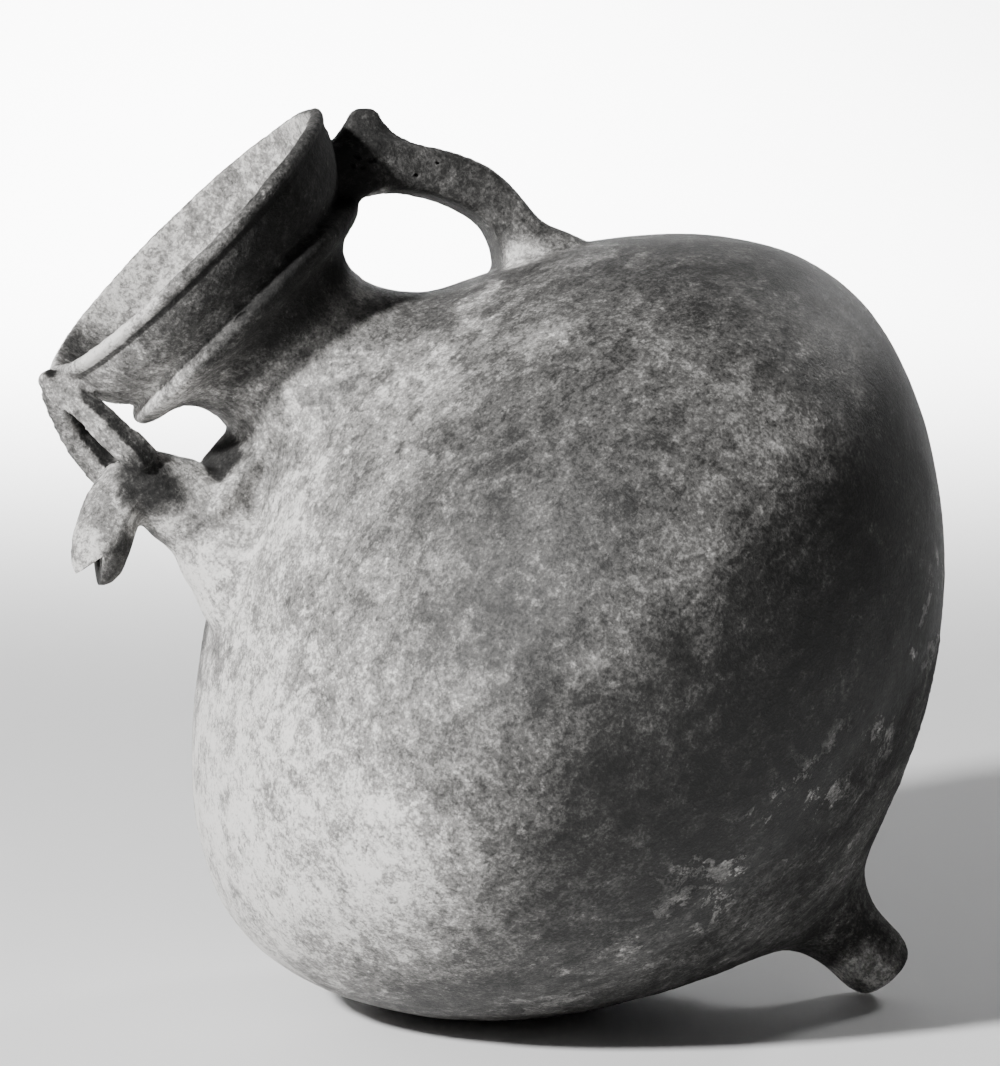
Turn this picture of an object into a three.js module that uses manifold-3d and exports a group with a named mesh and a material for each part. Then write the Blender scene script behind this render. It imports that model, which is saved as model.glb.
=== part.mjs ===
// A fired clay jar with two spouts, standing tipped over on its belly: a wide collared mouth, and a horned
// animal's head on the shoulder whose open jaws pour. A strap handle with a thumb lug stands opposite the head,
// and the belly ends in a peg foot. It was built by hand and fired as one piece, so it is one solid.
// Millimetres, +Z up. The origin is on the floor, in the middle of the flat on the belly that it rests on.
import * as THREE from "three";
import { mergeVertices } from "three/addons/utils/BufferGeometryUtils.js";
import Module from "manifold-3d";

const wasm = await Module();
wasm.setup();

// How the jar lies: its axis leans back from upright, and it is rolled a little about that axis.
const LEAN = THREE.MathUtils.degToRad(43.6);
const ROLL = THREE.MathUtils.degToRad(15);
const RESTING_FLAT_DEPTH = 1.5; // how much of the belly is worn away where it rests

// Heights along the jar's own axis, from 0 near the end of the peg foot up to the lip, and radii about that axis.
const FOOT_LENGTH = 30;
const FOOT_RADIUS = 11.4;
const BELLY_RADIUS = 131.4;
const BELLY_HEIGHT = 152;
const NECK_RADIUS = 29.2;
const NECK_HEIGHT = 264.8;
const RIDGE_RADIUS = 42;
const RIDGE_HEIGHT = 279.8;
const RIDGE_RISE = 3.6; // the ridge under the collar stands this much higher on its near side
const LIP_RADIUS = 54.9;
const LIP_HEIGHT = 307.7;
const LIP_RISE = 1.5; // the lip stands this much higher on its far side, and lower on its near side
const LIP_LIFT = 0.9; // and this much higher on the handle's side
const COLLAR_LEAN = 2.7; // the lip's middle lies this far towards the handle

// The shoulder leans towards the handle, as the hand-built wall sagged that way.
const SAG = 9.6;
const SAG_HEIGHT = 220;
const SAG_BELOW = 66;
const SAG_ABOVE = 40;

const clay = new THREE.MeshStandardMaterial({
  name: "clay",
  color: new THREE.Color(0.33, 0.32, 0.305),
  roughness: 0.82,
  metalness: 0,
});

// Turns a closed geometry into a manifold solid: shared corners are merged, and slivers at the poles dropped.
function solidOf(geometry) {
  const bare = geometry.index ? geometry.toNonIndexed() : geometry.clone();
  bare.deleteAttribute("normal");
  bare.deleteAttribute("uv");
  const merged = mergeVertices(bare, 1e-4);
  const corners = merged.index.array;
  const kept = [];
  for (let i = 0; i < corners.length; i += 3) {
    const [a, b, c] = [corners[i], corners[i + 1], corners[i + 2]];
    if (a !== b && b !== c && c !== a) kept.push(a, b, c);
  }
  return new wasm.Manifold(
    new wasm.Mesh({
      numProp: 3,
      vertProperties: merged.attributes.position.array,
      triVerts: new Uint32Array(kept),
    }),
  );
}

function geometryOf(solid) {
  const mesh = solid.getMesh();
  const geometry = new THREE.BufferGeometry();
  geometry.setAttribute("position", new THREE.BufferAttribute(mesh.vertProperties, 3));
  geometry.setIndex(new THREE.BufferAttribute(mesh.triVerts, 1));
  geometry.computeVertexNormals();
  return geometry;
}

// Moves every corner of a geometry to where the function puts it.
function moved(geometry, place) {
  const position = geometry.attributes.position;
  const point = new THREE.Vector3();
  for (let i = 0; i < position.count; i++) {
    point.fromBufferAttribute(position, i);
    place(point);
    position.setXYZ(i, point.x, point.y, point.z);
  }
  return geometry;
}

// A smooth line through [radius, height] points, as so many steps.
function smooth(points, steps) {
  const curve = new THREE.SplineCurve(points.map(([r, h]) => new THREE.Vector2(r, h)));
  return curve.getSpacedPoints(steps);
}

function sagAt(height) {
  const spread = height < SAG_HEIGHT ? SAG_BELOW : SAG_ABOVE;
  return SAG * Math.exp(-(((height - SAG_HEIGHT) / spread) ** 2));
}

// Spins an outline about the jar's axis, then lets the shoulder sag and the collar lean towards the handle, and
// tips the lip and the ridge a little.
function spun(outline, sides) {
  const lathe = new THREE.LatheGeometry(outline, sides);
  lathe.rotateX(Math.PI / 2);
  lathe.rotateZ(Math.PI / sides);
  return moved(lathe, (p) => {
    const lipward = THREE.MathUtils.smoothstep(p.z, RIDGE_HEIGHT, LIP_HEIGHT);
    const ridgeward = THREE.MathUtils.smoothstep(p.z, NECK_HEIGHT, RIDGE_HEIGHT) - lipward;
    p.x += sagAt(p.z) + COLLAR_LEAN * lipward;
    p.z += (lipward * (LIP_RISE * p.y + LIP_LIFT * p.x)) / LIP_RADIUS;
    p.z += RIDGE_RISE * ridgeward * Math.max(0, -p.y / RIDGE_RADIUS);
  });
}

// The outside of the jar, from the foot's end up to the lip, closed flat across the mouth.
function outside() {
  const foot = smooth(
    [
      [6, -2.2],
      [9.2, -0.4],
      [FOOT_RADIUS - 0.3, 4],
      [FOOT_RADIUS, 11.9],
      [12.1, 18.3],
      [14.6, 24.4],
      [18.8, 29.7],
      [27, 34.5],
    ],
    9,
  );
  const belly = smooth(
    [
      [27, 34.5],
      [42.6, 42.2],
      [59.4, 51.7],
      [80.8, 66.3],
      [97.6, 81.2],
      [110.2, 96],
      [119.6, 110.9],
      [126.2, 125.7],
      [130.2, 139.6],
      [BELLY_RADIUS, BELLY_HEIGHT],
      [127.6, 169.7],
      [119.8, 184.1],
      [108.3, 198.6],
      [91.5, 213],
      [77, 223.5],
    ],
    20,
  );
  const neck = smooth(
    [
      [77, 223.5],
      [58.6, 233.4],
      [49, 238.6],
      [41, 243],
      [35.8, 247.6],
      [32.2, 252.9],
      [30, 258.2],
      [NECK_RADIUS, NECK_HEIGHT],
      [31, 270.6],
      [35.2, 274.8],
      [RIDGE_RADIUS - 1.4, RIDGE_HEIGHT - 1.8],
    ],
    11,
  );
  const collar = smooth(
    [
      [RIDGE_RADIUS - 1.4, RIDGE_HEIGHT - 1.8],
      [RIDGE_RADIUS + 0.3, RIDGE_HEIGHT - 0.2],
      [RIDGE_RADIUS, RIDGE_HEIGHT + 1.8],
      [43.9, 283.8],
      [48.2, 289.8],
      [51.8, 297],
      [54.1, 303],
      [LIP_RADIUS - 0.2, 304.9],
      [LIP_RADIUS, 306.5],
      [LIP_RADIUS - 1.6, LIP_HEIGHT],
    ],
    12,
  );
  const outline = [
    new THREE.Vector2(0, -2.2),
    ...foot,
    ...belly.slice(1),
    ...neck.slice(1),
    ...collar.slice(1),
    new THREE.Vector2(0, LIP_HEIGHT),
  ];
  return solidOf(spun(outline, 48));
}

// The hollow inside: the belly, the neck and the funnel of the mouth, running on above the lip.
function hollow() {
  const belly = smooth(
    [
      [21, 40.4],
      [39.5, 48.4],
      [57.5, 59],
      [77.6, 75],
      [93.6, 90.6],
      [106, 106],
      [115.4, 121],
      [121.6, 136],
      [124.4, BELLY_HEIGHT],
      [120.2, 169.4],
      [111.8, 183],
      [99.6, 196],
      [84, 208.4],
      [65, 220.4],
      [48, 231],
      [35.2, 241],
      [27.6, 250.9],
      [24.4, 259.4],
      [24, 265.8],
    ],
    17,
  );
  const funnel = smooth(
    [
      [24, 265.8],
      [25.8, 272.2],
      [31.4, 278.2],
      [38.2, 284.1],
      [44, 290.7],
      [48.2, 298],
      [51.6, 305.4],
      [53.6, 310.4],
    ],
    7,
  );
  const outline = [new THREE.Vector2(0, 37.6), ...belly, ...funnel.slice(1), new THREE.Vector2(0, 310.4)];
  return solidOf(spun(outline, 40));
}

// A closed bar along a path, with a rounded-square section: wide across the plane of the handle and the head,
// and thick in that plane, with its size given at each share of its length.
function bar(points, sizeAt, steps, sides) {
  const path = new THREE.CatmullRomCurve3(points.map(([x, y, z]) => new THREE.Vector3(x, y, z)));
  const cylinder = new THREE.CylinderGeometry(1, 1, 1, sides, steps);
  const across = new THREE.Vector3();
  const tangent = new THREE.Vector3();
  const up = new THREE.Vector3();
  return moved(cylinder, (p) => {
    const share = p.y + 0.5;
    const [thick, wide] = sizeAt(share);
    const square = (Math.abs(p.x) ** 2.6 + Math.abs(p.z) ** 2.6) ** (-1 / 2.6);
    const reach = Number.isFinite(square) ? square * Math.hypot(p.x, p.z) : 0;
    path.getTangentAt(share, tangent);
    across.set(0, 1, 0).addScaledVector(tangent, -tangent.y).normalize();
    up.crossVectors(tangent, across);
    const [x, z] = [p.x * reach, p.z * reach];
    path.getPointAt(share, p);
    p.addScaledVector(up, (x * thick) / 2).addScaledVector(across, (z * wide) / 2);
  });
}

// A size that goes smoothly through [share, value] stops.
function through(stops, share) {
  let i = 1;
  while (i < stops.length - 1 && share > stops[i][0]) i++;
  const [from, low] = stops[i - 1];
  const [to, high] = stops[i];
  return low + (high - low) * THREE.MathUtils.smoothstep(share, from, to);
}

// The strap handle, from the collar to the shoulder.
function handle() {
  const points = [
    [44, 0, 289.4],
    [53, 0, 287],
    [61.4, 0, 280.8],
    [69, 0, 271.4],
    [74.2, 0, 262],
    [77.2, 0, 253.6],
    [77.4, 0, 245.4],
    [75.8, 0, 237.4],
    [74, 0, 226.6],
    [71, 0, 212],
  ];
  const thick = [
    [0, 18],
    [0.12, 16.6],
    [0.34, 13.4],
    [0.52, 13.4],
    [0.64, 11.8],
    [0.72, 12.6],
    [0.85, 25],
    [1, 38],
  ];
  const wide = [
    [0, 24],
    [0.15, 19],
    [0.5, 16.5],
    [0.7, 19],
    [0.86, 27],
    [1, 36],
  ];
  return solidOf(bar(points, (s) => [through(thick, s), through(wide, s)], 18, 14));
}

// The thumb lug, a pinched spur on the handle's top bend.
function thumbLug() {
  const points = [
    [58.5, 0, 283],
    [63.6, 0, 290],
    [69, 0, 296],
  ];
  const round = (s) => Math.sqrt(Math.max(0.04, 1 - Math.max(0, (s - 0.66) / 0.34) ** 2));
  const thick = [
    [0, 22],
    [0.45, 14],
    [1, 7],
  ];
  const wide = [
    [0, 16],
    [0.5, 11],
    [1, 8.4],
  ];
  return solidOf(bar(points, (s) => [through(thick, s) * round(s), through(wide, s) * round(s)], 8, 12));
}

// The animal's neck and head: a stout trunk off the shoulder up to the crown, and the muzzle.
function trunk() {
  const points = [
    [-44, 0, 205],
    [-49.2, 0, 222],
    [-50.4, 0, 236],
    [-50.6, 0, 247],
    [-53, 0, 256.4],
    [-56, 0, 266],
    [-57.8, 0, 277],
  ];
  const thick = [
    [0, 56],
    [0.24, 48],
    [0.43, 35.4],
    [0.58, 28.4],
    [0.71, 26.4],
    [0.85, 20.6],
    [1, 12],
  ];
  const wide = [
    [0, 62],
    [0.24, 50],
    [0.42, 36],
    [0.57, 28],
    [0.72, 27],
    [0.88, 29],
    [1, 20],
  ];
  return solidOf(bar(points, (s) => [through(thick, s), through(wide, s)], 12, 16));
}

// The clay that fills the corner between the animal's neck and the jar's.
function saddle() {
  const points = [
    [-52, 0, 242],
    [-44, 0, 244.6],
    [-35, 0, 245.4],
    [-22, 0, 244],
  ];
  const thick = [
    [0, 26],
    [0.45, 23.4],
    [1, 25],
  ];
  const wide = [
    [0, 24],
    [0.5, 20],
    [1, 22],
  ];
  return solidOf(bar(points, (s) => [through(thick, s), through(wide, s)], 8, 14));
}

function muzzle() {
  const points = [
    [-57, 0, 268.2],
    [-68, -2.2, 267],
    [-75.2, -4.2, 264.4],
    [-81.6, -6.1, 261.2],
    [-88.2, -8, 258.4],
  ];
  const thick = [
    [0, 17],
    [0.35, 17.8],
    [0.65, 18.2],
    [0.85, 16.8],
    [1, 11],
  ];
  const wide = [
    [0, 24],
    [0.35, 19],
    [0.7, 14.5],
    [0.88, 12.6],
    [1, 8.6],
  ];
  return solidOf(bar(points, (s) => [through(thick, s), through(wide, s)], 9, 14));
}

// One horn, from the side of the crown up to the lip, where both horns join in one tip.
function horn(points) {
  const size = [
    [0, 11],
    [0.35, 9.8],
    [0.75, 7],
    [0.94, 6],
    [1, 3.4],
  ];
  return solidOf(bar(points, (s) => [through(size, s), through(size, s) * 0.96], 12, 10));
}

const nearHorn = [
  [-54.6, -10.5, 268],
  [-54.2, -11.6, 276],
  [-54.6, -11.5, 282.4],
  [-54.4, -10.2, 289.6],
  [-54.4, -7, 296.6],
  [-55.8, -3, 303],
  [-54.6, -1.6, 310.6],
];
const farHorn = [
  [-59.4, 10.5, 268],
  [-59.8, 11.4, 276],
  [-59.4, 11.3, 283],
  [-58.5, 9.8, 290],
  [-57.2, 5.6, 297.4],
  [-56.6, 0.8, 303.2],
  [-55, -0.8, 309],
];

// The open jaws: a wedge cut out of the muzzle's end, from the corner of the mouth outwards.
function gape() {
  const wedge = new THREE.Shape([
    new THREE.Vector2(-82.2, 261),
    new THREE.Vector2(-100, 264),
    new THREE.Vector2(-100, 243.4),
  ]);
  const cut = new THREE.ExtrudeGeometry(wedge, { depth: 44, bevelEnabled: false });
  cut.translate(0, 0, -22);
  cut.rotateX(Math.PI / 2);
  return solidOf(cut);
}

// The pouring hole, from the corner of the mouth through the head to the hollow of the belly.
function pouringHole() {
  const points = [
    [-90, -8, 260],
    [-80, -5.4, 261],
    [-69, -2.4, 264],
    [-57, 0, 261],
    [-50, 0, 246],
    [-46, 0, 222],
  ];
  return solidOf(bar(points, () => [4.2, 4.2], 10, 8));
}

// Where the jar's own axis frame lies above the floor: on the belly, with the foot just clear of it.
function placing(body) {
  const turn = new THREE.Matrix4().makeRotationY(-LEAN).multiply(new THREE.Matrix4().makeRotationZ(ROLL));
  const corners = body.getMesh().vertProperties;
  const point = new THREE.Vector3();
  const lowest = new THREE.Vector3(0, 0, Infinity);
  for (let i = 0; i < corners.length; i += 3) {
    if (corners[i + 2] < FOOT_LENGTH) continue;
    point.set(corners[i], corners[i + 1], corners[i + 2]).applyMatrix4(turn);
    if (point.z < lowest.z) lowest.copy(point);
  }
  const shift = new THREE.Matrix4().makeTranslation(-lowest.x, 0, -lowest.z - RESTING_FLAT_DEPTH);
  return shift.multiply(turn);
}

// A slab of the floor, in the jar's own frame, that cuts the resting flat.
function floorSlab(place) {
  const slab = new THREE.BoxGeometry(120, 120, 20);
  slab.translate(0, 0, -10);
  slab.applyMatrix4(place.clone().invert());
  return solidOf(slab);
}

function jar() {
  const body = outside();
  const place = placing(body);
  let clayBody = body;
  const added = [handle(), thumbLug(), trunk(), saddle(), muzzle(), horn(nearHorn), horn(farHorn)];
  for (const piece of added) {
    clayBody = clayBody.add(piece);
  }
  for (const cut of [hollow(), gape(), pouringHole(), floorSlab(place)]) {
    clayBody = clayBody.subtract(cut);
  }
  const mesh = new THREE.Mesh(geometryOf(clayBody), clay);
  mesh.name = "vessel";
  place.decompose(mesh.position, mesh.quaternion, mesh.scale);
  return mesh;
}

const group = new THREE.Group();
group.add(jar());
export default group;
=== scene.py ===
# %% [markdown]
# # A clay jar with two spouts, lying on its belly
#
# The real jar was built by hand from coils of grey clay and fired once. It has a round belly on a peg
# foot, a narrow neck with a wide collar for a mouth, a strap handle with a thumb lug, and opposite it the
# head of a horned animal whose open jaws pour. It is one piece, so here it is modelled as one skin: each
# form is made on its own in the jar's own upright frame, all are fused, and the jar is then laid down as
# it lies in the picture.
#
# Sizes are in millimetres in the tables and in metres in Blender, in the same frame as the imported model.

# %% Frame, units and small helpers
import math

import bpy
from mathutils import Matrix, Vector


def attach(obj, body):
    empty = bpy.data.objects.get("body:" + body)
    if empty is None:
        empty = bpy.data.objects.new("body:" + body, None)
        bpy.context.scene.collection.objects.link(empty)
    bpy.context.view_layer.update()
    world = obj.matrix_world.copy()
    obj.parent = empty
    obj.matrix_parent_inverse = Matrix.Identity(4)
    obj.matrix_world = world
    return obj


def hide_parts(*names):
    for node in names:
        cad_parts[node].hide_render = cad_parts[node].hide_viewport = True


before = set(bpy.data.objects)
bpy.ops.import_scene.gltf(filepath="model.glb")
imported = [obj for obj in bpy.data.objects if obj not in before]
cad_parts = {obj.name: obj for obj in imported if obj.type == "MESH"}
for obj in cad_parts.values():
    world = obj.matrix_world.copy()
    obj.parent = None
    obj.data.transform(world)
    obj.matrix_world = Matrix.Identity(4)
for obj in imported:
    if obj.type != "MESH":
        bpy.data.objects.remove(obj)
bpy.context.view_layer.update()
MM = 0.001


def only(obj):
    """Makes obj the one selected and active object."""
    bpy.ops.object.select_all(action="DESELECT")
    obj.select_set(True)
    bpy.context.view_layer.objects.active = obj


def apply(obj, kind, **settings):
    """Adds one modifier, sets it and applies it."""
    only(obj)
    modifier = obj.modifiers.new(kind.lower(), kind)
    for name, value in settings.items():
        setattr(modifier, name, value)
    bpy.ops.object.modifier_apply(modifier=modifier.name)


def through(stops, share):
    """A size that goes smoothly through (share, value) stops."""
    for (low_at, low), (high_at, high) in zip(stops, stops[1:]):
        if share <= high_at:
            t = max(0.0, (share - low_at) / (high_at - low_at))
            return low + (high - low) * t * t * (3 - 2 * t)
    return stops[-1][1]


def ease(value, low, high):
    """0 below low, 1 above high, and smooth between."""
    t = min(1.0, max(0.0, (value - low) / (high - low)))
    return t * t * (3 - 2 * t)


print("frame loaded, solids:", sorted(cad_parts))

# %% [markdown]
# ## The belly, neck and collar
#
# A potter raises such a body round an axis, so it could be a lathed curve, a Screw modifier or a spin.
# Here one vertex is extruded along the outline, from the end of the peg foot up to the lip, and the
# outline is spun. The outline keeps the small ridge at the foot of the collar and the rounded lip, with
# the groove under it.

# %% Outline of the outside, as (radius, height) from the end of the foot
OUTLINE = [
    (0, -2.5), (4, -2.5), (7.4, -2), (9.8, -0.2), (11.2, 3.4), (11.5, 8), (11.5, 12.4), (12.2, 18.4),
    (14.5, 24), (18.6, 29.3), (27, 34.3), (42.6, 42), (59.4, 51.5), (81, 66.1), (98, 81), (110.6, 95.8),
    (120, 110.7), (126.6, 125.6), (130.6, 139.6), (131.8, 152), (128, 169.7), (120.2, 184.2),
    (108.7, 198.8), (91.8, 213.4), (77.2, 223.8), (58.6, 233.6), (49, 238.8), (41, 243.1),
    (35.7, 247.7), (32.1, 252.9), (29.9, 258.2),
    (29.1, 264.8), (30.4, 270.2), (33.6, 273.8), (37.4, 275.2), (41.8, 275.8), (45.2, 277.6), (45.9, 279.6),
    (44.6, 281.2), (41.6, 282.8), (42.4, 284.2), (44.8, 286), (48.2, 290), (51.4, 296.2), (52.9, 300.8),
    (53.2, 302.4), (53.1, 303.4), (54.6, 304.3), (55.5, 306), (55, 307.6), (53.6, 308.2), (46, 308),
    (20, 308), (0, 308),
]  # fmt: skip


def spun(name, outline, steps=96, levels=1):
    """A vertex extruded along an outline, spun about the axis and closed."""
    bpy.ops.mesh.primitive_plane_add(size=0.001, location=(0, 0, 0))
    obj = bpy.context.object
    obj.name = name
    bpy.ops.object.mode_set(mode="EDIT")
    bpy.ops.mesh.select_all(action="SELECT")
    bpy.ops.mesh.merge(type="CENTER")
    radius, height = outline[0]
    bpy.ops.transform.translate(value=(radius * MM, 0, height * MM))
    for (r0, h0), (r1, h1) in zip(outline, outline[1:]):
        step = ((r1 - r0) * MM, 0, (h1 - h0) * MM)
        bpy.ops.mesh.extrude_vertices_move(TRANSFORM_OT_translate={"value": step})
    bpy.ops.mesh.select_all(action="SELECT")
    bpy.ops.mesh.spin(steps=steps, angle=math.tau, center=(0, 0, 0), axis=(0, 0, 1))
    bpy.ops.mesh.select_all(action="SELECT")
    bpy.ops.mesh.remove_doubles(threshold=1e-5)
    bpy.ops.mesh.normals_make_consistent(inside=False)
    bpy.ops.object.mode_set(mode="OBJECT")
    apply(obj, "SUBSURF", levels=levels, render_levels=levels)
    return obj


jar = spun("jar", OUTLINE, levels=2)
print("jar body spun:", len(jar.data.polygons), "faces")

# %% [markdown]
# ## Parts drawn out of soft clay
#
# The handle, the lug, the animal's neck, its horns and its muzzle are rolls of clay, thick here and thin
# there, and bent. Each starts as one flat section. It is extruded step by step along X with a new
# thickness and width at each step, then the straight roll is bent along a drawn path, so that its ends
# sink into the body.


# %% A roll of clay along a path
def roll(name, path, thick, wide, steps=22, square=0.0, twist=0):
    """thick lies in the plane of handle and head, and wide across it, both as (share, millimetres) stops.
    square gives the section flat sides, and twist turns it about the path, in degrees."""
    facing_x = (0, math.pi / 2, 0)
    if square:
        bpy.ops.mesh.primitive_plane_add(size=1, location=(0, 0, 0), rotation=facing_x)
    else:
        bpy.ops.mesh.primitive_circle_add(vertices=16, radius=0.5, fill_type="NGON", rotation=facing_x)
    bpy.ops.object.transform_apply(rotation=True)
    bpy.ops.object.mode_set(mode="EDIT")
    bpy.ops.mesh.select_all(action="SELECT")
    if square:
        bpy.ops.mesh.bevel(offset=0.5 - square / 2, segments=3, affect="VERTICES")
    obj = bpy.context.object
    obj.name = name
    size = (through(thick, 0), through(wide, 0))
    bpy.ops.transform.resize(value=(1, size[1], size[0]), center_override=(0, 0, 0))
    for step in range(1, steps + 1):
        share = step / steps
        new = (through(thick, share), through(wide, share))
        bpy.ops.mesh.extrude_region_move(TRANSFORM_OT_translate={"value": (1 / steps, 0, 0)})
        scale = (1, new[1] / size[1], new[0] / size[0])
        bpy.ops.transform.resize(value=scale, center_override=(share, 0, 0))
        size = new
    bpy.ops.object.mode_set(mode="OBJECT")
    bend(obj, [Vector(p) for p in path], math.radians(twist))
    bpy.ops.object.mode_set(mode="EDIT")
    bpy.ops.mesh.select_all(action="SELECT")
    bpy.ops.mesh.normals_make_consistent(inside=False)
    bpy.ops.object.mode_set(mode="OBJECT")
    apply(obj, "SUBSURF", levels=2, render_levels=2)
    return obj


def smooth_path(points, count=80):
    """Points at even distances along a smooth curve through the given ones."""
    ends = [points[0] * 2 - points[1], *points, points[-1] * 2 - points[-2]]
    fine = []
    for a, b, c, d in zip(ends, ends[1:], ends[2:], ends[3:]):
        squared = 2 * a - 5 * b + 4 * c - d
        cubed = 3 * b - a - 3 * c + d
        for i in range(24):
            t = i / 24
            fine.append(0.5 * (2 * b + (c - a) * t + squared * t * t + cubed * t**3))
    fine.append(points[-1])
    reach = [0.0]
    for a, b in zip(fine, fine[1:]):
        reach.append(reach[-1] + (b - a).length)
    even = []
    k = 0
    for i in range(count + 1):
        goal = reach[-1] * i / count
        while k < len(reach) - 2 and reach[k + 1] < goal:
            k += 1
        even.append(fine[k].lerp(fine[k + 1], (goal - reach[k]) / (reach[k + 1] - reach[k])))
    return even


def bend(obj, path, twist):
    """Lays a straight roll, 1 long on X, along the path; its sections stay square to it."""
    line = smooth_path(path)
    last = len(line) - 1
    for vertex in obj.data.vertices:
        at = min(1.0, max(0.0, vertex.co.x)) * last
        i = min(int(at), last - 1)
        place = line[i].lerp(line[i + 1], at - i)
        tangent = (line[min(i + 2, last)] - line[max(i - 1, 0)]).normalized()
        across = (Vector((0, 1, 0)) - tangent * tangent.y).normalized()
        up = tangent.cross(across)
        y = vertex.co.y * math.cos(twist) - vertex.co.z * math.sin(twist)
        z = vertex.co.z * math.cos(twist) + vertex.co.y * math.sin(twist)
        vertex.co = (place + up * z + across * y) * MM


# %% [markdown]
# ## The strap handle and its thumb lug
#
# The strap leaves the collar just under the lip, is flat on both faces with soft edges, thins towards the
# middle and spreads where it was pressed on to the shoulder. The lug is a pinch of clay on its upper
# bend.

# %% Strap and lug
strap = roll(
    "strap",
    [(42, 0, 289.4), (53, 0, 287), (61.4, 0, 280.8), (69, 0, 271.4), (74.4, 0, 262), (77.4, 0, 253.6),
     (77.7, 0, 245.4), (76, 0, 237.4), (74, 0, 226.6), (71, 0, 212)],
    thick=[(0, 19), (0.12, 17), (0.34, 13.8), (0.52, 13.8), (0.64, 12.4), (0.72, 13.8), (0.85, 28),
           (1, 40)],
    wide=[(0, 28), (0.15, 20), (0.5, 17), (0.68, 18.6), (0.78, 24), (0.88, 36), (1, 54)],
    steps=28,
    square=0.66,
)  # fmt: skip
lug = roll(
    "lug",
    [(57, 0, 281.6), (61.6, 0, 288), (66, 0, 293), (69.6, 0, 296.8)],
    thick=[(0, 46), (0.25, 36), (0.45, 25), (0.62, 16), (0.8, 10.4), (0.93, 8), (1, 5)],
    wide=[(0, 20), (0.4, 15), (0.75, 10.8), (0.92, 9), (1, 5.4)],
    steps=18,
    square=0.45,
)
print("handle: strap", len(strap.data.polygons), "faces, lug", len(lug.data.polygons))

# %% [markdown]
# ## The animal's head
#
# A stout neck rises from the shoulder, and more clay fills the corner behind it. Two horns stand on the
# crown, flat-sided and turned about a third of a right angle, so that each shows a bright face and a dark
# one. They lean in to meet at the lip, where they are smeared on to it. The muzzle turns a little towards
# the viewer.

# %% Neck, crown and muzzle
neck = roll(
    "neck",
    [(-44, 0, 205), (-49.2, 0, 222), (-50.4, 0, 236), (-50.6, 0, 247), (-53, 0, 256.4), (-56, 0, 266),
     (-57.6, 0, 275)],
    thick=[(0, 56), (0.24, 48), (0.43, 36), (0.58, 29), (0.71, 27), (0.86, 22), (1, 14)],
    wide=[(0, 70), (0.24, 52), (0.43, 36), (0.58, 28.6), (0.72, 27), (0.88, 29), (1, 24)],
    steps=22,
)  # fmt: skip
saddle = roll(
    "saddle",
    [(-53, 0, 239.6), (-45, 0, 242), (-35, 0, 243), (-24, 0, 242.4)],
    thick=[(0, 26), (0.45, 24), (1, 26)],
    wide=[(0, 26), (0.5, 25), (1, 26)],
    steps=12,
    square=0.8,
    twist=22,
)
muzzle = roll(
    "muzzle",
    [(-57, 0, 268.4), (-68, -2.2, 267.2), (-75.4, -4.2, 264.6), (-81.8, -6.1, 261.4), (-87, -7.7, 258.8),
     (-89.4, -8.4, 257.6)],
    thick=[(0, 18), (0.33, 18.6), (0.62, 18.8), (0.82, 17), (0.94, 13), (1, 8)],
    wide=[(0, 25), (0.33, 20), (0.62, 16), (0.82, 13.6), (0.94, 10), (1, 6)],
    steps=18,
)
print("head without horns:", sum(len(part.data.polygons) for part in (neck, saddle, muzzle)), "faces")

# %% Horns, and the clay smeared over their joint with the lip
HORN = {
    "thick": [(0, 9), (0.3, 7.8), (0.6, 6.6), (0.8, 6), (0.94, 5.4), (1, 3.6)],
    "wide": [(0, 9), (0.3, 8), (0.6, 7), (0.8, 6.4), (0.94, 5.6), (1, 3.6)],
    "steps": 20,
    "square": 0.84,
    "twist": 33,
}
near_horn = roll(
    "near_horn",
    [(-54.8, -11.2, 270), (-54.2, -11.9, 276), (-54.6, -11.7, 282.4), (-54.4, -10.3, 289.6),
     (-54.4, -7, 296.6), (-55.8, -3.2, 303), (-55, -1.8, 310)],
    **HORN,
)  # fmt: skip
far_horn = roll(
    "far_horn",
    [(-59.4, 10.4, 268), (-59.9, 11.5, 276), (-59.6, 11.4, 283), (-58.7, 9.8, 290), (-57.4, 5.8, 297),
     (-56.8, 1.6, 302.6), (-56, 0.4, 306)],
    **HORN,
)  # fmt: skip
smear = roll(
    "smear",
    [(-54.8, -4, 305), (-53, -7, 301.6), (-51.8, -9, 298.8)],
    thick=[(0, 5), (0.5, 4), (1, 2)],
    wide=[(0, 5), (0.5, 3.4), (1, 2)],
    steps=10,
)
print("horns:", len(near_horn.data.polygons) + len(far_horn.data.polygons), "faces")

# %% [markdown]
# ## The mouth
#
# The mouth is a second spun outline, cut out of the first by a Boolean modifier. It is cut before the jar
# is made one skin, so that the remesh below rounds the lip as a potter's finger does.

# %% Hollow of the mouth, as (radius, height)
FUNNEL = [
    (0, 246), (12, 246.4), (21, 248), (24.4, 253), (24, 259), (24, 265), (25.8, 271.4), (31.2, 277.4),
    (38, 283.4), (43.8, 290.2), (48.2, 297.4), (51, 304.4), (52, 308.2), (53, 314), (40, 314.2), (0, 314.2),
]  # fmt: skip
funnel = spun("funnel", FUNNEL, steps=72)
apply(jar, "BOOLEAN", operation="DIFFERENCE", object=funnel, solver="EXACT")
bpy.data.objects.remove(funnel)
print("mouth cut:", len(jar.data.polygons), "faces")

# %% [markdown]
# ## Not quite round
#
# The shoulder has sagged towards the handle, the collar leans the same way, and the lip and the ridge are
# tipped. A Lattice could do that, but the moves are so plain that they are written as a few lines over
# the vertices. The same function is used again on the hollow of the belly, so that the wall keeps its
# thickness.

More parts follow.
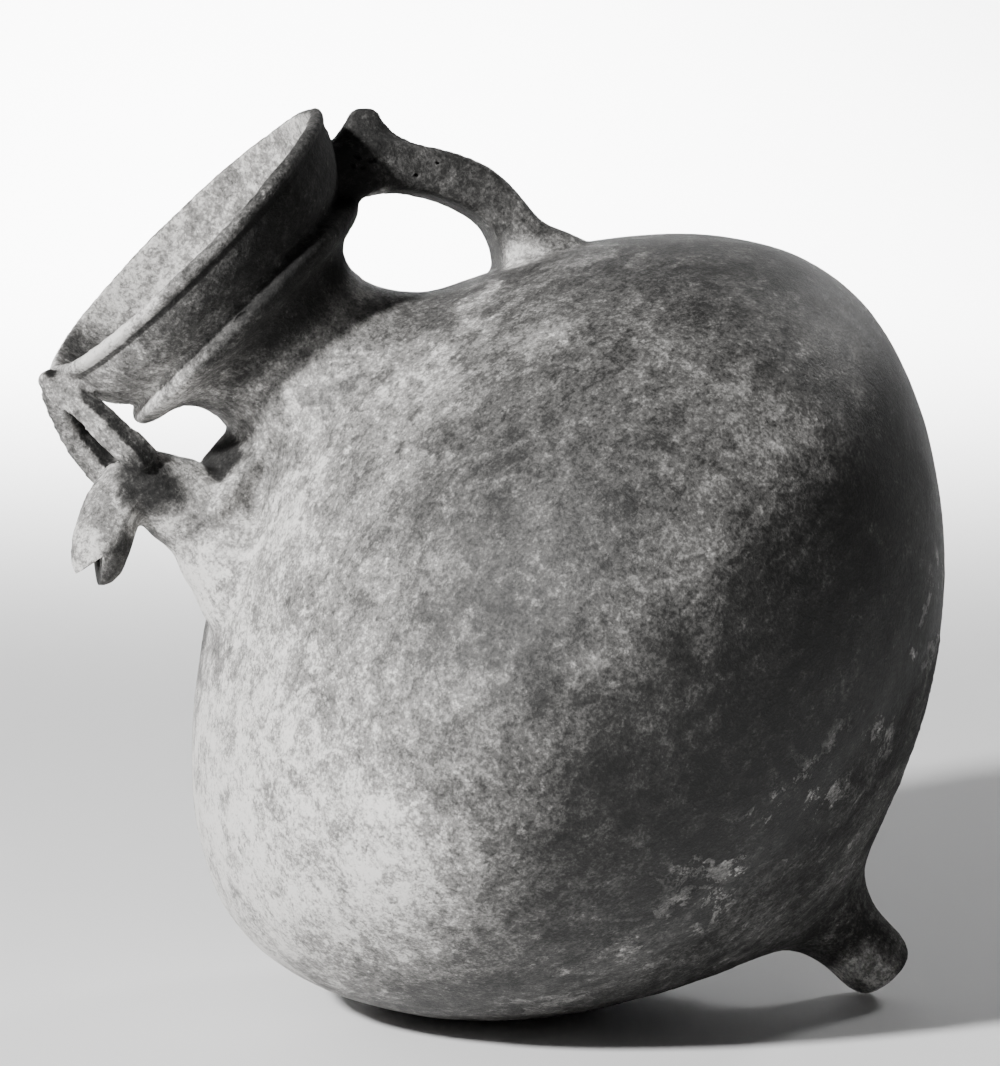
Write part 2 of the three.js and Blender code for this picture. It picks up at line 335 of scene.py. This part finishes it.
# %% Sag of the shoulder, tilt of the collar and swell of the flank
SAG = 9.6
SAG_HEIGHT = 220
SAG_BELOW = 66
SAG_ABOVE = 40
NECK_HEIGHT = 264.8
RIDGE_HEIGHT = 279.8
RIDGE_RADIUS = 42
RIDGE_RISE = 3.6
LIP_HEIGHT = 307.7
LIP_RADIUS = 54.9
LIP_RISE = 1.5
LIP_LIFT = 0.9
COLLAR_LEAN = 2.7
SWELL = 2.2
SWELL_SHARE = 0.7
SWELL_CENTRE = (50, -48, 55)
SWELL_REACH = 26


def lean_over(obj):
    """Moves the shoulder and lip towards the handle, tips the lip and ridge, and swells the flank."""
    for vertex in obj.data.vertices:
        x, y, z = vertex.co / MM
        sag_reach = SAG_BELOW if z < SAG_HEIGHT else SAG_ABOVE
        lipward = ease(z, RIDGE_HEIGHT, LIP_HEIGHT)
        ridgeward = ease(z, NECK_HEIGHT, RIDGE_HEIGHT) - lipward
        away = sum((here - there) ** 2 for here, there in zip((x, y, z), SWELL_CENTRE))
        swell = SWELL * math.exp(-(away / SWELL_REACH**2))
        sag = SAG * math.exp(-(((z - SAG_HEIGHT) / sag_reach) ** 2))
        x += sag + COLLAR_LEAN * lipward + SWELL_SHARE * swell
        y -= SWELL_SHARE * swell
        lip_tilt = lipward * (LIP_RISE * y + LIP_LIFT * x) / LIP_RADIUS
        z += lip_tilt + RIDGE_RISE * ridgeward * max(0.0, -y / RIDGE_RADIUS)
        vertex.co = Vector((x, y, z)) * MM


lean_over(jar)
print("lip at", round(max(vertex.co.z for vertex in jar.data.vertices) / MM, 1), "mm")

# %% [markdown]
# ## One skin
#
# On the real jar the joints are wiped smooth with a wet finger. The forms could be united by Booleans,
# but those leave sharp seams, so all are joined into one object and a voxel remesh turns them into one
# closed skin. A Smooth modifier held to the joints by vertex weights then makes the wiped fillets.

# %% Join and remesh
VOXEL = 1.0 * MM
only(jar)
for part in (strap, lug, neck, saddle, muzzle, near_horn, far_horn, smear):
    part.select_set(True)
bpy.ops.object.join()
jar = bpy.context.object
apply(jar, "REMESH", mode="VOXEL", voxel_size=VOXEL, adaptivity=0)
print("one skin:", len(jar.data.polygons), "faces")


# %% Wiped joints
def weigh(obj, name, rule):
    """A vertex group whose weight, in twentieths, is rule(x, y, z) of a point in millimetres."""
    group = obj.vertex_groups.new(name=name)
    steps = {}
    for vertex in obj.data.vertices:
        weight = round(20 * min(1.0, max(0.0, rule(*(vertex.co / MM)))))
        if weight:
            steps.setdefault(weight, []).append(vertex.index)
    for weight, members in steps.items():
        group.add(members, weight / 20, "REPLACE")


def near(point, reach):
    """A weight rule: 1 close to the point and 0 at the reach, in millimetres."""
    centre = Vector(point)
    return lambda x, y, z: 1.15 * (1 - (Vector((x, y, z)) - centre).length / reach)


def most(*rules):
    """The rule that gives the largest of the others."""
    return lambda x, y, z: max(rule(x, y, z) for rule in rules)


joints = most(
    near((78, 0, 226), 46),
    near((48, 0, 287), 18),
    near((-48, 0, 220), 34),
    near((-56, 0, 258), 11),
)
weigh(jar, "joints", joints)
apply(jar, "SMOOTH", factor=0.6, iterations=26, vertex_group="joints")
apply(jar, "SMOOTH", factor=0.5, iterations=3)
print("joints wiped")

# %% [markdown]
# ## Made by hand
#
# Nothing on a hand-built jar is quite round. Three Displace modifiers with procedural noise move the skin
# along its normals: slow waves of a millimetre, finger-sized dents, and fine roughness where the surface
# is worn.


# %% Unevenness
def uneven(obj, name, size, strength, depth=1, group=""):
    """Moves the skin by cloudy noise, with its largest shapes size millimetres across."""
    texture = bpy.data.textures.new(name, "CLOUDS")
    texture.noise_scale = size * MM
    texture.noise_depth = depth
    texture.noise_basis = "ORIGINAL_PERLIN"
    apply(
        obj,
        "DISPLACE",
        texture=texture,
        strength=strength * MM,
        mid_level=0.5,
        texture_coords="LOCAL",
        vertex_group=group,
    )


uneven(jar, "slow_waves", 60, 2.0)
uneven(jar, "finger_dents", 16, 0.7)


def wear(x, y, z):
    """Most round the foot, and some on the neck and above it."""
    return 0.25 + 0.75 * (ease(z, 24, 44) - ease(z, 62, 90)) + 0.5 * ease(z, 250, 262)


weigh(jar, "worn", wear)
uneven(jar, "worn_grain", 2.2, 0.9, depth=2, group="worn")
print("size made uneven:", [round(d, 4) for d in jar.dimensions])

# %% [markdown]
# ## Fewer faces
#
# The remesh gives every spot the same small faces. Collapse decimation, let loose by weights on the belly
# alone, keeps them where there is detail: on the collar, the head and the handle. It can leave a stray
# dent on so smooth a belly, so the middle of the belly is smoothed once more.


# %% Decimate
def plain(x, y, z):
    """1 on the belly, and 0 on the collar, the head and the handle."""
    collar = ease(z, 262, 274)
    head = ease(-x, 40, 52) * ease(z, 232, 246)
    handle = ease(x, 50, 60) * ease(z, 234, 244)
    return 1 - max(collar, head, handle)


def calm(x, y, z):
    """1 round the middle of the belly, away from the rough foot and the shoulder's joints."""
    return ease(z, 92, 110) * (1 - ease(z, 206, 222))


before = len(jar.data.polygons)
weigh(jar, "plain", plain)
apply(jar, "DECIMATE", ratio=0.245, vertex_group="plain", vertex_group_factor=1.0)
weigh(jar, "calm", calm)
apply(jar, "SMOOTH", factor=0.5, iterations=4, vertex_group="calm")
print("decimated from", before, "to", len(jar.data.polygons), "faces")

# %% [markdown]
# ## The jaws, the hollow and the channel
#
# The jaws are a wedge cut out of the muzzle's tip, as the potter cut them with a blade. The hollow of the
# belly is a third spun outline. It is cut after the faces were thinned, because the inside needs few, and
# a fine channel joins it to the jaws. The Manifold solver is quick and exact on closed skins like these.

# %% The wedge, as (x, z) of its edge and of its two far corners
JAW_CORNER = (-82.2, 261)
UPPER_JAW = (-104, 264.7)
LOWER_JAW = (-104, 239.4)
WEDGE_REACH = 22
bpy.ops.mesh.primitive_cylinder_add(vertices=3, radius=1, depth=1, location=(0, 0, 0))
wedge = bpy.context.object
wedge.name = "wedge"
for vertex in wedge.data.vertices:
    far_corner = UPPER_JAW if vertex.co.x > 0 else LOWER_JAW
    x, z = JAW_CORNER if vertex.co.y > 0 else far_corner
    side = WEDGE_REACH if vertex.co.z > 0 else -WEDGE_REACH
    vertex.co = (x * MM, side * MM, z * MM)
bpy.ops.object.mode_set(mode="EDIT")
bpy.ops.mesh.select_all(action="SELECT")
bpy.ops.mesh.normals_make_consistent(inside=False)
bpy.ops.object.mode_set(mode="OBJECT")
print("wedge:", [round(d, 4) for d in wedge.dimensions])

# %% The hollow of the belly and the pouring channel
HOLLOW = [
    (0, 37.6), (21, 40), (39.5, 47.9), (57.5, 58.4), (77.6, 74.2), (93.6, 89.7), (106, 105), (115.4, 119.8),
    (121.6, 134.6), (124.4, 152), (120.2, 167.7), (111.8, 181.2), (99.6, 194), (84, 206.3), (65, 218.2),
    (48, 228.7), (35.2, 238.6), (27.6, 248.4), (23.4, 254), (16, 254.6), (0, 254.6),
]  # fmt: skip
hollow = spun("hollow", HOLLOW, steps=64)
lean_over(hollow)
channel = roll(
    "channel",
    [(-92, -8.6, 259.6), (-86, -7, 260.2), (-80, -5.4, 261), (-69, -2.4, 264), (-57, 0, 261), (-50, 0, 246),
     (-46, 0, 222)],
    thick=[(0, 4.2), (1, 4.2)],
    wide=[(0, 4.2), (1, 4.2)],
    steps=16,
)  # fmt: skip
for cutter in (wedge, hollow, channel):
    apply(jar, "BOOLEAN", operation="DIFFERENCE", object=cutter, solver="MANIFOLD")
    bpy.data.objects.remove(cutter)
print("hollow cut:", len(jar.data.polygons), "faces")

# %% [markdown]
# ## Marks for the material
#
# The clay is pale inside the mouth and dark outside it, and the horns get painted shade where they face the
# gap. A place alone can't tell the two sides of a thin wall apart, but the skin's normals can, so they are
# kept as attributes.

# %% Inside of the mouth, and faces turned to the gap behind the head, for painted shade on the horns
for name in ("inside", "gap_shade"):
    jar.data.attributes.new(name, "FLOAT", "POINT")
inside_marks = jar.data.attributes["inside"].data
gap_shade_marks = jar.data.attributes["gap_shade"].data
for vertex in jar.data.vertices:
    x, y, z = vertex.co
    inward = -(vertex.normal.x * x + vertex.normal.y * y) / max(math.hypot(x, y), MM)
    inside_marks[vertex.index].value = ease(inward, 0.05, 0.4) * ease(z / MM, 262, 268)
    gap_shade_marks[vertex.index].value = ease(vertex.normal.x, 0.2, 0.55)
print("marked:", len(inside_marks), "points")

# %% [markdown]
# ## Laid down
#
# The jar lies as in the picture: its axis leans back 43.6 degrees, it is rolled 15 degrees about that
# axis, and a small worn flat on the belly meets the floor.

# %% Resting pose
LEAN = math.radians(43.6)
ROLL = math.radians(15)
FOOT_END = (118.95 * MM, 0, 6.88 * MM)
LAID = Matrix.Translation(FOOT_END) @ Matrix.Rotation(-LEAN, 4, "Y") @ Matrix.Rotation(ROLL, 4, "Z")
only(jar)
jar.matrix_world = LAID
bpy.ops.object.transform_apply(location=True, rotation=True, scale=True)
for vertex in jar.data.vertices:
    vertex.co.z = max(vertex.co.z, 0.0)
print("laid down, size:", [round(d, 4) for d in jar.dimensions])

# %% [markdown]
# ## Old knocks
#
# The belly has two nicks, the handle a few deep pits by the lug, the ridge a chip, and the muzzle a
# crease below the brow. They could be bumps in the material, but then their edges would stay flat from
# the side, so each is cut by a small squashed sphere.

# %% Knocks, each a place, half its length, height and depth, and its turn about Y in degrees
KNOCKS = [
    ((32.4, -115, 169.9), (3.8, 1.6, 1.5), -12),
    ((44, -112.7, 174), (1.3, 1.1, 1.3), 0),
    ((-22.1, 8.2, 249.2), (0.8, 0.6, 0.8), 30),
    ((-15.7, 10.3, 252.5), (0.8, 0.5, 0.8), 10),
    ((-39.7, 4.7, 255.1), (1.5, 0.9, 1), 40),
    ((-36.9, 6.8, 257.2), (0.9, 0.8, 1), 0),
    ((-35.4, 5.6, 254), (1.3, 1, 1), -20),
    ((-41.2, 3.2, 252.5), (1.2, 0.8, 1), 60),
    ((-38, 4.2, 251.8), (1, 0.7, 0.9), 0),
    ((-76.3, -43.8, 213.8), (2.4, 1, 1.1), -40),
    ((-111.6, -30.6, 153.2), (6.4, 1.1, 1.3), 24),
]
for at, (long, high, deep), turn in KNOCKS:
    bpy.ops.mesh.primitive_uv_sphere_add(segments=14, ring_count=8, radius=MM, location=(0, 0, 0))
    knock = bpy.context.object
    turned = Matrix.Rotation(math.radians(turn), 4, "Y")
    sized = Matrix.Diagonal((long, deep, high, 1))
    knock.data.transform(Matrix.Translation(Vector(at) * MM) @ turned @ sized)
    apply(jar, "BOOLEAN", operation="DIFFERENCE", object=knock, solver="MANIFOLD")
    bpy.data.objects.remove(knock)
only(jar)
bpy.ops.object.shade_smooth()
print("knocks:", len(KNOCKS), "faces:", len(jar.data.polygons))

# %% [markdown]
# ## Clay
#
# The jar is one grey clay all through, rubbed with a pebble before it was fired. The fire left it pale on
# the side of the head, with a black cloud low on the flank where the fuel lay against it, and wear has
# roughened it round the foot. The material could be painted, but it is built from sums instead, so that
# it stays sharp near by. It works in the jar's own upright millimetres: a Mapping node of the Texture
# type undoes the resting pose. One number, the tone, goes from black, 0, to the palest clay, 1, and a
# Color Ramp gives it its grey.

# %% Nodes written as sums
clay = bpy.data.materials.new("burnished_clay")
clay.use_nodes = True
tree = clay.node_tree
bsdf = tree.nodes["Principled BSDF"]


def node(kind, feeds=(), **settings):
    """One shader node. feeds are (socket, number or output) pairs."""
    made = tree.nodes.new("ShaderNode" + kind)
    for name, value in settings.items():
        setattr(made, name, value)
    for socket, value in feeds:
        if isinstance(value, bpy.types.NodeSocket):
            tree.links.new(value, made.inputs[socket])
        else:
            made.inputs[socket].default_value = value
    return made


def calc(operation, first, second=0.0):
    """One step of arithmetic on two numbers."""
    return node("Math", [(0, first), (1, second)], operation=operation).outputs[0]


def both(*masks):
    """1 where all the masks are 1."""
    result = masks[0]
    for mask in masks[1:]:
        result = calc("MULTIPLY", result, mask)
    return result


def total(start, *terms):
    """start plus each (weight, mask)."""
    for weight, mask in terms:
        feeds = [(0, mask), (1, weight), (2, start)]
        start = node("Math", feeds, operation="MULTIPLY_ADD").outputs[0]
    return start


def rise(value, low, high):
    """0 at low, 1 at high and smooth between, also where high is the smaller."""
    feeds = [(0, value), (1, low), (2, high)]
    return node("MapRange", feeds, interpolation_type="SMOOTHSTEP").outputs[0]


def blend(share, first, second):
    """first where share is 0 and second where it is 1."""
    return node("Mix", [(0, share), (2, first), (3, second)], data_type="FLOAT").outputs[0]


def noise(place, size, detail=3.0, rough=0.55):
    """Cloudy noise about 0, with its largest shapes size millimetres across."""
    feeds = [("Vector", place), ("Scale", 1 / size), ("Detail", detail), ("Roughness", rough)]
    return calc("SUBTRACT", node("TexNoise", feeds).outputs["Fac"], 0.5)


def vector(operation, first, second, third=(0, 0, 0)):
    """One step of arithmetic on places."""
    return node("VectorMath", [(0, first), (1, second), (2, third)], operation=operation)


def stray(place, size, reach):
    """The place moved about by noise, so that the edge of a mask turns ragged."""
    feeds = [("Vector", place), ("Scale", 1 / size), ("Detail", 5.0), ("Roughness", 0.62)]
    drift = node("TexNoise", feeds)
    centred = vector("SUBTRACT", drift.outputs["Color"], (0.5, 0.5, 0.5)).outputs[0]
    return vector("MULTIPLY_ADD", centred, (reach, reach, reach), place).outputs[0]


def spot(place, centre, radii, soft=0.5):
    """1 inside an ellipsoid and 0 outside it."""
    offset = vector("DIVIDE", vector("SUBTRACT", place, centre).outputs[0], radii).outputs[0]
    return rise(vector("LENGTH", offset, offset).outputs["Value"], 1 + soft, 1 - soft)


# %% The jar's own millimetres
object_place = node("TexCoord").outputs["Object"]
pose = [("Location", FOOT_END), ("Rotation", LAID.to_euler()), ("Scale", (MM, MM, MM))]
place = node("Mapping", [("Vector", object_place), *pose], vector_type="TEXTURE").outputs[0]
ragged = stray(place, 30, 34)
x, y, z = node("SeparateXYZ", [(0, ragged)]).outputs
true_x, true_y, true_z = node("SeparateXYZ", [(0, place)]).outputs

# %% [markdown]
# ## What the clay shows
#
# Close by, the burnished skin is a mottle of pale specks and dark flecks, crossed by the long strokes of
# the pebble, which run round the jar. Noises of several sizes give these. Squeezing the place along X and
# Y before the noise draws it out into strokes round the axis. All the noises lie about 0, so that they
# can be added to a tone.

# %% Noises at the scales that the clay shows
patches = noise(place, 24, 5.0, 0.62)
mottle = noise(ragged, 7, 5.0, 0.7)
grain = noise(place, 1.7, 4.0, 0.75)
strokes = noise(vector("MULTIPLY", ragged, (0.3, 0.3, 1)).outputs[0], 5, 4.0, 0.62)
flecks = noise(place, 4.2, 6.0, 0.78)
grit = noise(place, 0.8, 2.0, 0.6)
print("noises from 24 mm to 0.8 mm")

# %% [markdown]
# ## Tones, part by part
#
# Each part of the jar took the fire and the wear in its own way. Soft spots and slopes say where the clay
# is paler or darker. A few are painted shade: under the handle, on the walls of the gap behind the head,
# on the horns' sides that face it and in the groove under the lip; and the end of the foot has a painted
# pool of light. Those on the belly read the ragged place, so that their edges wander as smoke and wear do,
# and those on small parts read the true one. The parts are then laid over the belly one by one, each by its
# own mask.

# %% Tone of the belly
low_worn = rise(z, 80, 60)
pale_side = both(rise(x, -22, -112), rise(z, 92, 150))
fire_cloud = spot(ragged, (44, -100, 102), (104, 120, 45), 0.4)
far_cloud = spot(ragged, (48, 96, 150), (62, 60, 36), 0.5)
flank = spot(ragged, (76, -108, 160), (46, 60, 32), 0.6)
shoulder = rise(z, 212, 240)
crown = spot(ragged, (104, -40, 196), (30, 60, 30), 0.6)
brow_side = spot(ragged, (-48, -58, 216), (34, 60, 26), 0.6)
# painted shade on the shoulder under the handle
shade_under_handle = spot(ragged, (40, -20, 246), (24, 22, 9), 0.5)
middle = spot(ragged, (-62, -116, 138), (26, 40, 26), 0.6)
belly = total(
    0.38, (0.54, pale_side), (-0.32, fire_cloud), (-0.24, far_cloud), (0.1, flank), (0.3, shoulder),
    (-0.12, crown), (0.16, brow_side), (-0.3, shade_under_handle), (-0.16, middle),
    (-0.06, both(low_worn, calc("SUBTRACT", 1.0, fire_cloud))),
)  # fmt: skip

# %% Flaked patches along the lower edge of the cloud
edge_band = both(rise(z, 60, 74), rise(z, 100, 84), rise(true_y, 20, -30))
flakes = both(rise(noise(ragged, 17, 6.0, 0.72), 0.05, 0.08), edge_band)

# %% Tone of the collar, handle, head and foot
LIP_GROOVE = 303.2
tilt = total(0.0, (LIP_RISE / LIP_RADIUS, true_y), (LIP_LIFT / LIP_RADIUS, true_x))
up_collar = calc("SUBTRACT", true_z, tilt)
# a dark line painted in the groove under the lip stands for the shade in the groove
lip_groove_shade = rise(calc("ABSOLUTE", calc("SUBTRACT", up_collar, LIP_GROOVE)), 1.1, 0.5)
inside_mouth = node("Attribute", attribute_name="inside").outputs["Fac"]
gap_shade = node("Attribute", attribute_name="gap_shade").outputs["Fac"]
# painted shade on the walls of the gap between the head and the neck
gap_wall_shade = spot(place, (-37, 1, 251), (10.5, 12.5, 8), 0.16)
collar = total(0.76, (-0.72, rise(x, -46, 16)), (0.3, rise(up_collar, 303.6, 305)), (-0.3, lip_groove_shade))
mouth = total(0.8, (-0.3, spot(ragged, (-40, 30, 296), (16, 24, 18))))
head = total(
    0.72,
    (-0.6, spot(place, (-57.5, -13.5, 266), (8.5, 10, 10), 0.4)),
    (0.12, rise(true_x, -74, -80)),
    (-0.5, both(rise(true_x, -70, -74), rise(true_z, 264, 258))),
    # painted shade on the horns' sides that face the gap, under the collar
    (-0.55, both(gap_shade, rise(true_z, 268, 276))),
)
handle = total(
    0.36, (-0.16, rise(true_z, 276, 290)), (0.5, spot(place, (69.5, -14, 231), (7.5, 8, 10), 0.35)),
)  # fmt: skip
# the foot is dark clay, with painted light as a pale patch on the lower side of its end
foot = total(0.3, (0.5, both(rise(true_x, 4, -3), rise(true_z, 17, 11))))

# %% All together
on_neck = rise(true_z, 262, 272)
on_head = both(rise(true_x, -47, -52), rise(true_z, 238, 250))
on_handle = both(rise(true_x, 54, 58), rise(true_z, 224, 238))
on_foot = rise(true_z, 36, 26)
tone = belly
for mask, part in (
    (on_neck, collar),
    (inside_mouth, mouth),
    (on_head, head),
    (on_handle, handle),
    (on_foot, foot),
    # painted shade in the gap behind the head
    (gap_wall_shade, 0.12),
    (flakes, 0.55),
):
    tone = blend(mask, tone, part)
tone = total(
    tone, (0.62, patches), (0.9, mottle), (0.9, grain), (0.55, strokes), (0.5, grit),
    (0.17, rise(flecks, 0.07, 0.13)), (-0.15, rise(flecks, -0.08, -0.15)),
)  # fmt: skip

# %% Greys of the tones, as (tone, grey)
GREYS = [(0.0, 0.009), (0.25, 0.026), (0.5, 0.082), (0.75, 0.23), (1.0, 0.62)]
ramp = node("ValToRGB", [(0, tone)])
while len(ramp.color_ramp.elements) < len(GREYS):
    ramp.color_ramp.elements.new(0.5)
for element, (stop, grey) in zip(ramp.color_ramp.elements, GREYS):
    element.position = stop
    element.color = (grey, grey * 0.975, grey * 0.94, 1)
tree.links.new(ramp.outputs["Color"], bsdf.inputs["Base Color"])

# %% [markdown]
# ## Sheen and relief
#
# The pebble gave the clay a dull sheen, which is lost where it is worn or was never rubbed. The same
# noises that speckle the clay also lift it a little through a Bump node, because a pale speck is often a
# grain standing proud.

# %% Sheen and relief
bsdf.inputs["Specular IOR Level"].default_value = 0.25
worn = total(0.0, (1.0, low_worn), (0.7, on_neck), (0.5, on_head))
roughness = total(0.62, (0.3, rise(worn, 0.0, 1.0)), (0.5, grain), (0.25, mottle))
tree.links.new(roughness, bsdf.inputs["Roughness"])
height = total(
    0.0, (0.35, mottle), (0.3, strokes), (0.8, grain), (0.4, grit), (1.6, both(worn, grain)),
    (-0.5, flakes),
)  # fmt: skip
relief = node("Bump", [("Height", height), ("Strength", 0.7), ("Distance", 0.5 * MM)])
tree.links.new(relief.outputs["Normal"], bsdf.inputs["Normal"])
jar.data.materials.clear()
jar.data.materials.append(clay)
print("clay:", len(tree.nodes), "nodes")

# %% Place in the frame
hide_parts("vessel")
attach(jar, "root")

# %% [markdown]
# ## Studio
#
# The jar lies on a pale sweep of paper. One small soft lamp to the left, in front and above gives its
# fairly crisp shadows. A weak one behind to the right draws its edge, and a third lights only the paper
# behind. The lens is long, and a little above the jar.

# %% Sweep, in metres and degrees
FLOOR = (6, 3.2)
FLOOR_MIDDLE = (0, 0.2, 0)
CURVE_STEPS = 8
CURVE_STEP = 0.16
HALF_STEP = 5.6
WALL = 2.4
bpy.ops.mesh.primitive_plane_add(size=1, location=(0, 0, 0))
sweep = bpy.context.object
sweep.name = "sweep"
sweep.data.transform(Matrix.Translation(FLOOR_MIDDLE) @ Matrix.Diagonal((*FLOOR, 1, 1)))
bpy.ops.object.mode_set(mode="EDIT")
bpy.ops.mesh.select_all(action="DESELECT")
bpy.ops.object.mode_set(mode="OBJECT")
for edge in sweep.data.edges:
    ends = [sweep.data.vertices[i].co.y for i in edge.vertices]
    edge.select = min(ends) > 1
bpy.ops.object.mode_set(mode="EDIT")
for step in range(1, CURVE_STEPS + 1):
    turn = math.radians(90 * step / CURVE_STEPS - HALF_STEP)
    move = (0, CURVE_STEP * math.cos(turn), CURVE_STEP * math.sin(turn))
    bpy.ops.mesh.extrude_edges_move(TRANSFORM_OT_translate={"value": move})
bpy.ops.mesh.extrude_edges_move(TRANSFORM_OT_translate={"value": (0, 0, WALL)})
bpy.ops.object.mode_set(mode="OBJECT")
bpy.ops.object.shade_smooth()
paper = bpy.data.materials.new("paper")
paper.use_nodes = True
paper_bsdf = paper.node_tree.nodes["Principled BSDF"]
paper_bsdf.inputs["Base Color"].default_value = (0.8, 0.8, 0.8, 1)
paper_bsdf.inputs["Roughness"].default_value = 0.9
sweep.data.materials.append(paper)
print("sweep:", [round(d, 2) for d in sweep.dimensions])


# %% Lights
def soft_light(name, place, aim, size, power, spread=180):
    """A disk that shines at the aim. size is in metres and power in watts."""
    bpy.ops.object.light_add(type="AREA", location=place)
    light = bpy.context.object
    light.name = name
    light.data.shape = "DISK"
    light.data.size = size
    light.data.energy = power
    light.data.spread = math.radians(spread)
    direction = Vector(aim) - Vector(place)
    light.rotation_euler = direction.to_track_quat("-Z", "Y").to_euler()


MID_JAR = (0, 0, 0.12)
soft_light("key", (-1.51, -1.27, 1.3), MID_JAR, 0.2, 130)
soft_light("rim", (1.2, 1.5, 1.1), MID_JAR, 0.4, 14)
soft_light("backdrop", (0, 1.5, 1.7), (0, 2.0, 0.1), 1.0, 90, spread=80)
world = bpy.data.worlds.new("studio")
bpy.context.scene.world = world
world.use_nodes = True
world.node_tree.nodes["Background"].inputs["Color"].default_value = (1, 1, 1, 1)
world.node_tree.nodes["Background"].inputs["Strength"].default_value = 0.05

# %% Camera, in metres; the picture's middle lies a little off the point looked at
AZIMUTH = math.radians(-5)
ELEVATION = math.radians(9.5)
DISTANCE = 1.6
LOOKED_AT = Vector((0, 0, 0.131))
FRAME_HEIGHT = 0.3171
SENSOR = 36
PICTURE_HEIGHT_PX = 1066
SHIFT_RIGHT_PX = 7
SHIFT_UP_PX = 40.7
level = math.cos(ELEVATION)
view = Vector((-math.sin(AZIMUTH) * level, math.cos(AZIMUTH) * level, -math.sin(ELEVATION)))
facing = view.to_track_quat("-Z", "Y").to_euler()
bpy.ops.object.camera_add(location=LOOKED_AT - view * DISTANCE, rotation=facing)
camera = bpy.context.object
camera.data.lens = SENSOR * DISTANCE / FRAME_HEIGHT
camera.data.sensor_width = SENSOR
camera.data.shift_x = SHIFT_RIGHT_PX / PICTURE_HEIGHT_PX
camera.data.shift_y = SHIFT_UP_PX / PICTURE_HEIGHT_PX
bpy.context.scene.camera = camera
print("camera lens", round(camera.data.lens, 1), "mm")
